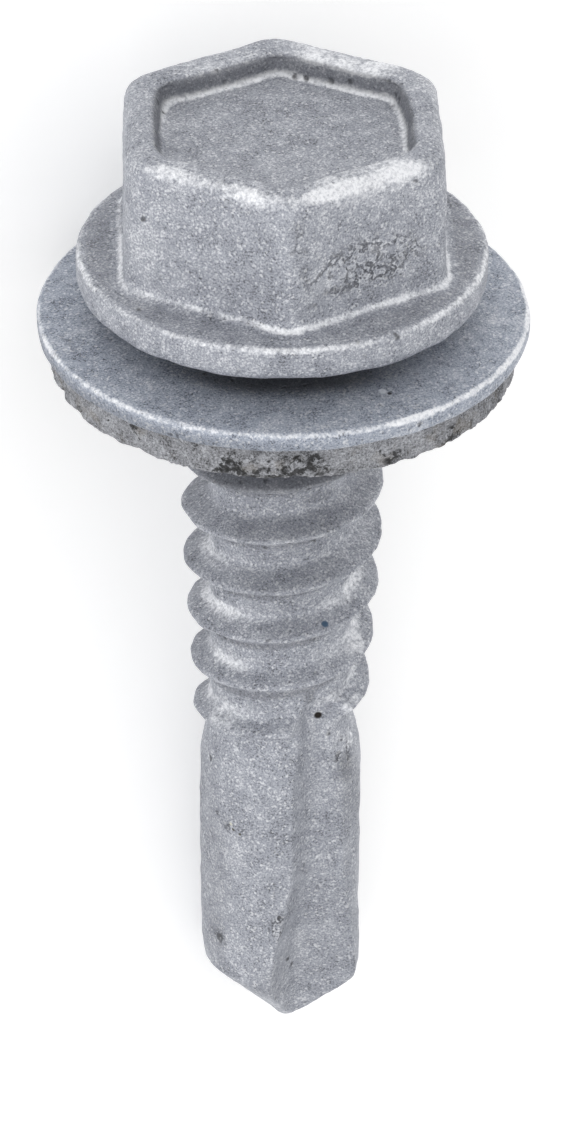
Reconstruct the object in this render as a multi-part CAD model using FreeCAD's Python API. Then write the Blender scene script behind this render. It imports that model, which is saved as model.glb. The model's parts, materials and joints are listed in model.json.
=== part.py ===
import FreeCAD, Part
import math
import os

from FreeCAD import Placement, Rotation, Vector

# Self drilling screw with an indented hex head and a bonded sealing washer, lying on a floor.
# Each piece is modelled upright, with its axis on Z, the head up and z = 0 under the flange,
# and is then laid down as the loose screw comes to rest. All sizes are in millimetres.

# Hex head, with a recess left by the heading die
hex_flats = 7.94
hex_draft_deg = 1.0
hex_corner_radius = 0.75
hex_turn_deg = 2.5
hex_foot_bevel = 0.24
head_height = 4.62
rim_outer_radius = 0.40
recess_flats = 5.95
recess_depth = 0.56
recess_draft_deg = 14.0
recess_corner_radius = 0.35
rim_inner_radius = 0.28

# Flange under the hex
flange_diameter = 10.50
flange_rim_thickness = 0.88
flange_slope_deg = 3.0
flange_top_bevel = 0.18
flange_bottom_bevel = 0.24

# Smooth shank that carries the washer
shank_diameter = 4.64
shank_length = 3.10
shank_foot_radius = 0.30

# Right hand thread, which gets shallower towards the drill point
thread_pitch = 1.588
thread_root_diameter = 3.94
thread_crest_diameter = 5.38
thread_last_crest_diameter = 4.62
thread_crest_width = 0.24
thread_flank_deg = 27.0
thread_length = 11.60
thread_even_length = 4.60
thread_fade_turns = 0.70
thread_depth_in_core = 0.82
thread_start_deg = 323.0
core_taper_length = 0.45

# Drill point with two straight flutes
drill_diameter = 4.42
screw_length = 24.14
point_half_angle_deg = 46.8
point_relief_deg = 4.0
point_relief_azimuth_deg = -32.0
flute_azimuth_deg = -60.0
flute_wall_deg = 52.0
flute_floor_radius = 0.30
flute_overlap = 3.40
flute_runout = 1.15
flute_bend_from_tip = 6.10
flute_valley_radius = 1.42
flute_valley_radius_at_tip = 0.12

# Bonded washer: a dished steel disc with a rubber seal under it
washer_diameter = 12.70
washer_thickness = 0.55
washer_dish = 0.35
washer_bore_diameter = 5.70
washer_edge_bevel = 0.16
washer_gap_at_rim = 0.95
seal_inset = 0.31
seal_rim_thickness = 0.96
seal_edge_bevel = 0.12
seal_bore_clearance = 0.08
seal_mouth_clearance = 0.22
seal_mouth_deg = 40.0

# How the loose screw lies: the floor's slope along the screw lies between these angles
least_tilt_deg = 1.0
most_tilt_deg = 60.0
expected_tilt_deg = 14.0

# Derived sizes
hex_top_flats = hex_flats - 2.0 * head_height * math.tan(math.radians(hex_draft_deg))
recess_floor_flats = recess_flats - 2.0 * recess_depth * math.tan(math.radians(recess_draft_deg))
flange_radius = flange_diameter / 2.0
shank_radius = shank_diameter / 2.0
root_radius = thread_root_diameter / 2.0
crest_radius = thread_crest_diameter / 2.0
drill_radius = drill_diameter / 2.0
washer_radius = washer_diameter / 2.0
seal_radius = washer_radius - seal_inset
thread_top = -shank_length
thread_end = thread_top - thread_length
seal_bottom = -(washer_gap_at_rim + washer_thickness + seal_rim_thickness)

z_axis = Vector(0, 0, 1)
at_level = 1e-3


def point(radius, z):
    # A point of a half section, in the XZ plane.
    return Vector(radius, 0, z)


def line(a, b):
    return Part.LineSegment(a, b).toShape()


def arc(a, middle, b):
    return Part.Arc(a, middle, b).toShape()


def corner_arc(corner, before, after, radius):
    # The arc that rounds a corner, with its two ends in order.
    to_before = (before - corner).normalize()
    to_after = (after - corner).normalize()
    half = to_before.getAngle(to_after) / 2.0
    reach = radius / math.tan(half)
    inward = (to_before + to_after).normalize()
    start = corner + to_before * reach
    end = corner + to_after * reach
    middle = corner + inward * (radius / math.sin(half) - radius)
    return start, middle, end


def bevelled_outline(corners):
    # A closed wire through (point, bevel) corners, each cut off straight by its bevel, sharp where it is 0.
    points = []
    count = len(corners)
    for i, (corner, bevel) in enumerate(corners):
        if bevel == 0:
            points.append(corner)
            continue
        for neighbour in (corners[i - 1][0], corners[(i + 1) % count][0]):
            points.append(corner + (neighbour - corner).normalize() * bevel)
    return Part.makePolygon(points + [points[0]])


def rounded_outline(corners):
    # A closed wire through (point, radius) corners, each rounded by its radius, sharp where it is 0.
    edges = []
    ends = []
    count = len(corners)
    for i, (corner, radius) in enumerate(corners):
        if radius == 0:
            ends.append((corner, None, corner))
            continue
        before = corners[i - 1][0]
        after = corners[(i + 1) % count][0]
        ends.append(corner_arc(corner, before, after, radius))
    for i, (start, middle, end) in enumerate(ends):
        if middle is not None:
            edges.append(arc(start, middle, end))
        edges.append(line(end, ends[(i + 1) % count][0]))
    return Part.Wire(edges)


def turned(corners):
    # A solid of revolution from a half section of (point, bevel) corners.
    face = Part.Face(bevelled_outline(corners))
    return face.revolve(Vector(0, 0, 0), z_axis, 360)


def hex_outline(flats, corner_radius, z):
    # A hexagon with rounded corners, one of them turned by a small angle from -Y.
    reach = flats / 2.0 / math.cos(math.radians(30))
    corners = []
    for i in range(6):
        angle = math.radians(hex_turn_deg - 90 + 60 * i)
        corners.append((Vector(reach * math.cos(angle), reach * math.sin(angle), z), corner_radius))
    return rounded_outline(corners)


def edges_at_height(shape, z, largest_radius):
    # The edges that lie at one height, no further out than a radius.
    found = []
    for edge in shape.Edges:
        box = edge.BoundBox
        level = abs(box.ZMin - z) < at_level and abs(box.ZMax - z) < at_level
        reach = max(vertex.Point.distanceToLine(Vector(0, 0, 0), z_axis) for vertex in edge.Vertexes)
        if level and reach < largest_radius:
            found.append(edge)
    return found


def hex_block():
    # The drafted hex with its rounded rim and the recess in its top.
    outer = Part.makeLoft([hex_outline(hex_flats, hex_corner_radius, 0.0),
                           hex_outline(hex_top_flats, hex_corner_radius, head_height)], True, True)
    outer = outer.makeFillet(rim_outer_radius, edges_at_height(outer, head_height, flange_radius))
    floor = head_height - recess_depth
    recess = Part.makeLoft([hex_outline(recess_floor_flats, recess_corner_radius, floor),
                            hex_outline(recess_flats, recess_corner_radius, head_height)], True, True)
    recess_reach = recess_flats / 2.0 / math.cos(math.radians(30)) + at_level
    block = outer.cut(recess)
    return block.makeFillet(rim_inner_radius, edges_at_height(block, head_height, recess_reach))


def flange():
    # A round flange with a gently sloping top.
    rise = flange_radius * math.tan(math.radians(flange_slope_deg))
    return turned([(point(0, 0), 0),
                   (point(flange_radius, 0), flange_bottom_bevel),
                   (point(flange_radius, flange_rim_thickness), flange_top_bevel),
                   (point(0, flange_rim_thickness + rise), 0)])


def head():
    # Hex and flange in one, with a bevel at the foot of the hex.
    body = flange().fuse(hex_block())
    foot_top = flange_rim_thickness + flange_radius * math.tan(math.radians(flange_slope_deg))
    foot = []
    for edge in body.Edges:
        middle = edge.valueAt((edge.FirstParameter + edge.LastParameter) / 2.0)
        reach = middle.distanceToLine(Vector(0, 0, 0), z_axis)
        on_flange_top = flange_rim_thickness < middle.z < foot_top
        if on_flange_top and hex_top_flats / 2.0 < reach < flange_radius - flange_top_bevel:
            foot.append(edge)
    return body.makeChamfer(hex_foot_bevel, foot)


def core():
    # Shank, thread root and drill blank on one axis.
    drill_top = thread_end - core_taper_length
    return turned([(point(0, flange_rim_thickness / 2.0), 0),
                   (point(shank_radius + shank_foot_radius, flange_rim_thickness / 2.0), 0),
                   (point(shank_radius + shank_foot_radius, 0), 0),
                   (point(shank_radius, -shank_foot_radius), 0),
                   (point(shank_radius, thread_top), 0),
                   (point(root_radius, thread_top - core_taper_length), 0),
                   (point(root_radius, thread_end), 0),
                   (point(drill_radius, drill_top), 0),
                   (point(drill_radius, -screw_length), 0),
                   (point(0, -screw_length), 0)])


def crest_radius_at(depth):
    # Crest radius at a depth below the start of the thread: it rises out of the core,
    # stays even, narrows, and sinks back into the core.
    fade = thread_fade_turns * thread_pitch
    sunk = root_radius - thread_crest_width
    last = thread_last_crest_diameter / 2.0
    if depth < thread_even_length:
        full = crest_radius
    else:
        share = (depth - thread_even_length) / (thread_length - thread_even_length)
        full = crest_radius + (last - crest_radius) * share
    edge = min(depth, thread_length - depth)
    if edge < fade:
        blend = 0.5 - 0.5 * math.cos(math.pi * edge / fade)
        return sunk + (full - sunk) * blend
    return full


def thread_ridge():
    # The ridge of the thread, swept along a helix that follows the crest.
    steps_per_turn = 16
    stretch_turns = 0.75
    turns = thread_length / thread_pitch
    steps = int(turns * steps_per_turn)
    spine_points = []
    for i in range(steps + 1):
        depth = thread_length * i / steps
        radius = crest_radius_at(depth)
        angle = math.radians(thread_start_deg) - 2.0 * math.pi * depth / thread_pitch
        spine_points.append(Vector(radius * math.cos(angle), radius * math.sin(angle), thread_top - depth))
    spine_curve = Part.BSplineCurve()
    spine_curve.interpolate(spine_points)
    # one edge of the spine for each stretch keeps the swept faces short enough to fuse well
    stretches = max(1, round(turns / stretch_turns))
    first = spine_curve.FirstParameter
    step = (spine_curve.LastParameter - first) / stretches
    starts = [first + i * step for i in range(stretches)]
    spine = Part.Wire([spine_curve.toShape(start, start + step) for start in starts])
    half_crest = thread_crest_width / 2.0
    half_base = half_crest + thread_depth_in_core * math.tan(math.radians(thread_flank_deg))
    section = bevelled_outline([(point(0, -half_crest), 0),
                                (point(0, half_crest), 0),
                                (point(-thread_depth_in_core, half_base), 0),
                                (point(-thread_depth_in_core, -half_base), 0)])
    section.Placement = Placement(spine_points[0], Rotation(z_axis, thread_start_deg))
    sweep = Part.BRepOffsetAPI.MakePipeShell(spine)
    sweep.setBiNormalMode(z_axis)
    sweep.add(section)
    sweep.build()
    sweep.makeSolid()
    return sweep.shape()


def point_envelope():
    # The end of the drill: each land is a cone that leans back from its cutting lip.
    apex = Vector(0, 0, -screw_length)
    height = 2.0 * drill_diameter
    mouth = height * math.tan(math.radians(point_half_angle_deg))
    lands = []
    for side in (0, 180):
        cone = Part.makeCone(0, mouth, height, apex, z_axis)
        lean = Rotation(z_axis, flute_azimuth_deg + point_relief_azimuth_deg + side)
        lean_axis = lean.multVec(Vector(0, 1, 0))
        cone.rotate(apex, lean_axis, -point_relief_deg)
        half_corner = Vector(-2 * mouth, -2 * mouth, -screw_length - height)
        half = Part.makeBox(4 * mouth, 2 * mouth, 3 * height, half_corner)
        half.rotate(Vector(0, 0, 0), z_axis, flute_azimuth_deg + side)
        lands.append(cone.common(half))
    return lands[0].fuse(lands[1])


def flute_section(valley_radius, z):
    # A vee with a rounded floor, open towards +X.
    wall = math.radians(flute_wall_deg)
    outside = crest_radius + drill_radius
    half_mouth = (outside - valley_radius) * math.tan(wall)
    outline = rounded_outline([(Vector(valley_radius, 0, z), flute_floor_radius),
                               (Vector(outside, -half_mouth, z), 0),
                               (Vector(outside, half_mouth, z), 0)])
    return outline


def flute_cutter():
    # The flute starts outside the thread, runs straight and deepens towards the tip.
    outside = crest_radius + flute_floor_radius
    start = thread_end + flute_overlap
    bend = -screw_length + flute_bend_from_tip
    past_tip = drill_radius
    slope = (flute_valley_radius - flute_valley_radius_at_tip) / flute_bend_from_tip
    sections = [flute_section(outside, start),
                flute_section(flute_valley_radius, start - flute_runout),
                flute_section(flute_valley_radius, bend),
                flute_section(flute_valley_radius_at_tip - slope * past_tip, -screw_length - past_tip)]
    cutter = Part.makeLoft(sections, True, True)
    cutter.rotate(Vector(0, 0, 0), z_axis, flute_azimuth_deg)
    return cutter


def screw():
    # Head, shank, thread and drill point: one forged and rolled piece.
    threaded = core().fuse(thread_ridge())
    under_tip = Vector(0, 0, -screw_length - drill_radius)
    surround = Part.makeCylinder(drill_diameter, drill_radius + drill_diameter, under_tip)
    waste = surround.cut(point_envelope())
    threaded = threaded.cut(waste)
    for side in (0, 180):
        cutter = flute_cutter()
        cutter.rotate(Vector(0, 0, 0), z_axis, side)
        threaded = threaded.cut(cutter)
    return head().fuse(threaded).removeSplitter()


def dish_height(radius):
    # How far the dished disc stands above its rim at a radius.
    bore = washer_bore_diameter / 2.0
    return washer_dish * (washer_radius - radius) / (washer_radius - bore)


def metal_washer():
    # A disc of even thickness, dished so that its bore stands above its rim.
    bore = washer_bore_diameter / 2.0
    top = -washer_gap_at_rim
    bottom = top - washer_thickness
    return turned([(point(bore, bottom + washer_dish), 0),
                   (point(washer_radius, bottom), 0),
                   (point(washer_radius, top), washer_edge_bevel),
                   (point(bore, top + washer_dish), 0)])


def rubber_seal():
    # The seal fills the dish from below; its bore grips over the shank and opens at the mouth.
    bore = shank_radius + seal_bore_clearance
    mouth = crest_radius + seal_mouth_clearance
    disc_bore = washer_bore_diameter / 2.0
    disc_bottom = -washer_gap_at_rim - washer_thickness
    top = disc_bottom + dish_height(seal_radius)
    bore_top = disc_bottom + washer_dish
    mouth_height = (mouth - bore) / math.tan(math.radians(seal_mouth_deg))
    return turned([(point(bore, seal_bottom + mouth_height), 0),
                   (point(mouth, seal_bottom), 0),
                   (point(seal_radius, seal_bottom), seal_edge_bevel),
                   (point(seal_radius, top), 0),
                   (point(disc_bore, bore_top), 0),
                   (point(bore, bore_top), 0)])


def resting_placement(shapes):
    # The loose screw rests on the washer's rim and on both edges of the lower flute.
    # The floor's normal is square to the line through the two edges' ends, and is turned
    # about that line until the floor also touches the rim.
    flute = Rotation(z_axis, flute_azimuth_deg + 180)
    low_side = flute.multVec(Vector(1, 0, 0))
    across = flute.multVec(Vector(0, 1, 0))
    floor_slope = math.tan(math.radians(expected_tilt_deg))
    ends = []
    for sign in (-1, 1):
        side = [v.Point for v in shapes["screw"].Vertexes
                if v.Point.z < thread_end and sign * v.Point.dot(across) > 0 and v.Point.dot(low_side) > 0]
        ends.append(max(side, key=lambda p: p.dot(low_side) - floor_slope * p.z))
    chord = (ends[1] - ends[0]).normalize()
    rim_z = -washer_gap_at_rim - washer_thickness
    up = (low_side * -1.0 - chord * (low_side * -1.0).dot(chord)).normalize()
    along = up.cross(chord)
    if along.z < 0:
        along = along * -1.0
    low = math.radians(least_tilt_deg)
    high = math.radians(most_tilt_deg)
    for _ in range(60):
        angle = (low + high) / 2.0
        normal = up * math.cos(angle) + along * math.sin(angle)
        rim = normal.z * rim_z - washer_radius * math.sqrt(1.0 - normal.z ** 2)
        if rim < normal.dot(ends[0]):
            low = angle
        else:
            high = angle
    y_dir = (z_axis - normal * normal.dot(z_axis)).normalize()
    x_dir = y_dir.cross(normal)
    turn = Rotation(x_dir, y_dir, normal, "ZXY").inverted()
    laid = Placement(Vector(0, 0, 0), turn)
    whole = Part.makeCompound([shape.copy() for shape in shapes.values()])
    whole.Placement = laid
    box = whole.optimalBoundingBox()
    laid.Base = Vector(-(box.XMin + box.XMax) / 2.0, -(box.YMin + box.YMax) / 2.0, -box.ZMin)
    print("axis tilt", round(math.degrees(angle), 3), "degrees")
    return laid


def report_place(label, laid, upright_point, upright_direction):
    # Where a feature of the upright screw lies on the floor, in metres, and where it points.
    place = laid.multVec(upright_point)
    way = laid.Rotation.multVec(upright_direction)
    print(label, [round(c / 1000.0, 7) for c in place], [round(c, 7) for c in way])


def main():
    os.makedirs("parts", exist_ok=True)
    shapes = {"screw": screw(), "metal_washer": metal_washer(), "rubber_seal": rubber_seal()}
    laid = resting_placement(shapes)
    for name, shape in shapes.items():
        shape.Placement = laid.multiply(shape.Placement)
        print(name, "valid", shape.isValid(), "solids", len(shape.Solids), "volume", round(shape.Volume, 3))
        shape.exportStep("parts/" + name + ".step")
    seal_middle = (seal_radius + crest_radius) / 2.0
    side = Rotation(z_axis, flute_azimuth_deg).multVec(Vector(seal_middle, 0, seal_bottom))
    report_place("origin", laid, Vector(0, 0, 0), z_axis)
    report_place("camera_side", laid, Vector(0, 0, 0), Vector(0, -1, 0))
    report_place("seal_face", laid, side, z_axis * -1.0)
    report_place("hex_drive", laid, Vector(0, 0, head_height), z_axis)
    report_place("thread", laid, Vector(0, 0, (thread_top + thread_end) / 2.0), z_axis * -1.0)
    report_place("washer_spin", laid, Vector(0, 0, -washer_gap_at_rim), z_axis)


main()
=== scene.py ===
import json
import math
import bpy
import numpy as np
from mathutils import Matrix, Vector


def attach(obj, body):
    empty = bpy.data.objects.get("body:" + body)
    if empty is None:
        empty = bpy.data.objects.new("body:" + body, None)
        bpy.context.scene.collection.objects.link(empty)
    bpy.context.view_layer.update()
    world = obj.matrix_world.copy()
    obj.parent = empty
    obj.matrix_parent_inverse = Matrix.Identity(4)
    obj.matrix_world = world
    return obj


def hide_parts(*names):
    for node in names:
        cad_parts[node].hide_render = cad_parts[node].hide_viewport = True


# A zinc coated self drilling screw with its bonded washer, lying on a pale floor.
# The screw is worked out upright, in millimetres: its axis on Z, the head up, z = 0 under the flange
# and the side that faces the camera towards -Y. toRow() then lays it where the frame has it.

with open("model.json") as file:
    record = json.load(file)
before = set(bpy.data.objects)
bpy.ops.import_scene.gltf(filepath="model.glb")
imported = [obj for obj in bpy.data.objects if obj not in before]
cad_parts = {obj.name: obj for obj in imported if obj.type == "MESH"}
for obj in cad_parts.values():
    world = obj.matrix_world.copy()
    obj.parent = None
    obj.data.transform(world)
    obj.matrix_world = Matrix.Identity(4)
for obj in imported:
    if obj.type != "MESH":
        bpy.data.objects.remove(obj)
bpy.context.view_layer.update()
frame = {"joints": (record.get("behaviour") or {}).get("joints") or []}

lying = {
    "washerGap": 0.95,         # from the underside of the flange down to the washer's pivot
    "cameraSideTurn": 29.086,  # degrees about the axis from its upper side to the camera's side
}

washerSpin = next(joint for joint in frame["joints"] if joint["name"] == "washer_spin")
alongAxis = np.array(washerSpin["axis"], float)
alongAxis /= np.linalg.norm(alongAxis)
upright = np.array([0.0, 0.0, 1.0]) - alongAxis * alongAxis[2]
upright /= np.linalg.norm(upright)
sideTurn = math.radians(lying["cameraSideTurn"])
cameraSide = math.cos(sideTurn) * upright - math.sin(sideTurn) * np.array([1.0, 0.0, 0.0])
cameraSide /= np.linalg.norm(cameraSide)
acrossAxis = np.cross(alongAxis, cameraSide)
flangeUnderside = np.array(washerSpin["pos_m"], float) + lying["washerGap"] / 1000.0 * alongAxis


def toRow(points):
    # upright millimetres to the row frame's metres: x across, y away from the camera, z along the axis
    turn = np.stack([acrossAxis, -cameraSide, alongAxis])
    return flangeUnderside + points @ turn / 1000.0


# shapes shared by the pieces


def smoothMax(a, b, soft):
    # the larger of two fields, with a rounded join as wide as soft
    return 0.5 * (a + b + np.sqrt((a - b) ** 2 + soft ** 2))


def smoothMin(a, b, soft):
    return 0.5 * (a + b - np.sqrt((a - b) ** 2 + soft ** 2))


def smoothStep(x, low, high):
    t = np.clip((x - low) / (high - low), 0.0, 1.0)
    return t * t * (3.0 - 2.0 * t)


def stepped(x, step):
    # step is (least, added, from, to): least below from, both together beyond to, smooth between
    least, added, start, end = step
    return least + added * smoothStep(x, start, end)


def band(x, place):
    # place is (middle, half width, soft edge): 1 inside the band, 0 outside
    middle, half, soft = place
    return smoothStep(half - np.abs(x - middle), 0.0, soft)


def waveNoise(points, size, seed, waves=28):
    # a sum of plane waves in random directions, each about one size long; it runs from about -1 to 1
    rng = np.random.default_rng(seed)
    ways = rng.normal(size=(waves, 3))
    ways /= np.linalg.norm(ways, axis=1)[:, None]
    lengths = size * rng.uniform(0.7, 1.6, waves)
    phases = rng.uniform(0.0, 2.0 * math.pi, waves)
    total = np.zeros(points.shape[:-1])
    for way, length, phase in zip(ways, lengths, phases):
        total += np.sin(points @ way * (2.0 * math.pi / length) + phase)
    return total / math.sqrt(waves)


def regionShare(points, regions):
    # each (x, y, z, reach across, reach along, strength) region has its strength in its middle,
    # fading to 0 at its edge
    share = np.zeros(points.shape[:-1])
    for x, y, z, across, along, strength in regions:
        off = (points - np.array([x, y, z])) / np.array([across, across, along])
        share = np.maximum(share, strength * (1.0 - smoothStep(np.sum(off ** 2, axis=-1), 0.35, 1.3)))
    return share


def roundedProfile(corners, step, arcSteps):
    # A half section through (radius, z, rounding, wear) corners, sampled about every step along its
    # straights and arcSteps times round each rounded corner. Returns the points and the wear of each.
    points = []
    wearAndHighlight = []
    corners = [(np.array([r, z], float), rounding, wornAndLit) for r, z, rounding, wornAndLit in corners]
    lastEnd = corners[0][0]
    for i in range(1, len(corners)):
        corner, rounding, wornAndLit = corners[i]
        if rounding > 0:
            before = corners[i - 1][0] - corner
            after = corners[i + 1][0] - corner
            before /= np.linalg.norm(before)
            after /= np.linalg.norm(after)
            half = 0.5 * math.acos(np.clip(before @ after, -1.0, 1.0))
            reach = rounding / math.tan(half)
            start = corner + before * reach
            end = corner + after * reach
        else:
            start = corner
            end = corner
        count = max(1, int(round(np.linalg.norm(start - lastEnd) / step)))
        share = (np.arange(count) / count)[:, None]
        points.append(lastEnd + (start - lastEnd) * share)
        wearAndHighlight.append(np.zeros(count))
        if rounding > 0:
            # a quadratic curve from one tangent point to the other, pulled towards the corner
            t = (np.arange(arcSteps) / arcSteps)[:, None]
            points.append((1 - t) ** 2 * start + 2 * t * (1 - t) * corner + t ** 2 * end)
            wearAndHighlight.append(wornAndLit * np.sin(math.pi * t[:, 0]))
        lastEnd = end
    points.append(lastEnd[None, :])
    wearAndHighlight.append(np.zeros(1))
    return np.concatenate(points), np.concatenate(wearAndHighlight)


def gridNormals(grid):
    # unit normals of a (rows, columns, 3) grid whose columns close on themselves
    down = np.gradient(grid, axis=0)
    around = np.roll(grid, -1, axis=1) - np.roll(grid, 1, axis=1)
    normals = np.cross(down, around)
    return normals / np.maximum(np.linalg.norm(normals, axis=2), 1e-12)[:, :, None]


def meshFromGrid(name, grid, fields, closedRows):
    # Rows run down the profile and columns round the axis. An open profile gets a point at each end,
    # where its first and last row close; a closed one joins its last row to its first.
    rows, columns = grid.shape[:2]
    index = np.arange(rows * columns).reshape(rows, columns)
    right = np.roll(index, -1, axis=1)
    if closedRows:
        top, topRight = index, right
        low, lowRight = np.roll(index, -1, axis=0), np.roll(right, -1, axis=0)
    else:
        top, topRight = index[:-1], right[:-1]
        low, lowRight = index[1:], right[1:]
    faces = np.stack([top, low, lowRight, topRight], axis=-1).reshape(-1, 4).tolist()
    points = grid.reshape(-1, 3)
    values = {field: value.reshape(-1) for field, value in fields.items()}
    if not closedRows:
        ends = np.stack([grid[0].mean(axis=0), grid[-1].mean(axis=0)])
        points = np.concatenate([points, ends])
        values = {field: np.concatenate([value, [value[:columns].mean(), value[-columns:].mean()]])
                  for field, value in values.items()}
        firstEnd, lastEnd = rows * columns, rows * columns + 1
        faces += [(firstEnd, int(a), int(b)) for a, b in zip(index[0], right[0])]
        faces += [(lastEnd, int(b), int(a)) for a, b in zip(index[-1], right[-1])]
    mesh = bpy.data.meshes.new(name)
    mesh.from_pydata(toRow(points), [], faces)
    for field, value in values.items():
        attribute = mesh.attributes.new(field, "FLOAT", "POINT")
        attribute.data.foreach_set("value", value.astype(np.float32))
    mesh.polygons.foreach_set("use_smooth", np.ones(len(mesh.polygons), bool))
    mesh.validate()
    piece = bpy.data.objects.new(name, mesh)
    bpy.context.scene.collection.objects.link(piece)
    print(name, "has", sum(len(face) - 2 for face in faces), "triangles")
    return piece


# the screw

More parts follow.
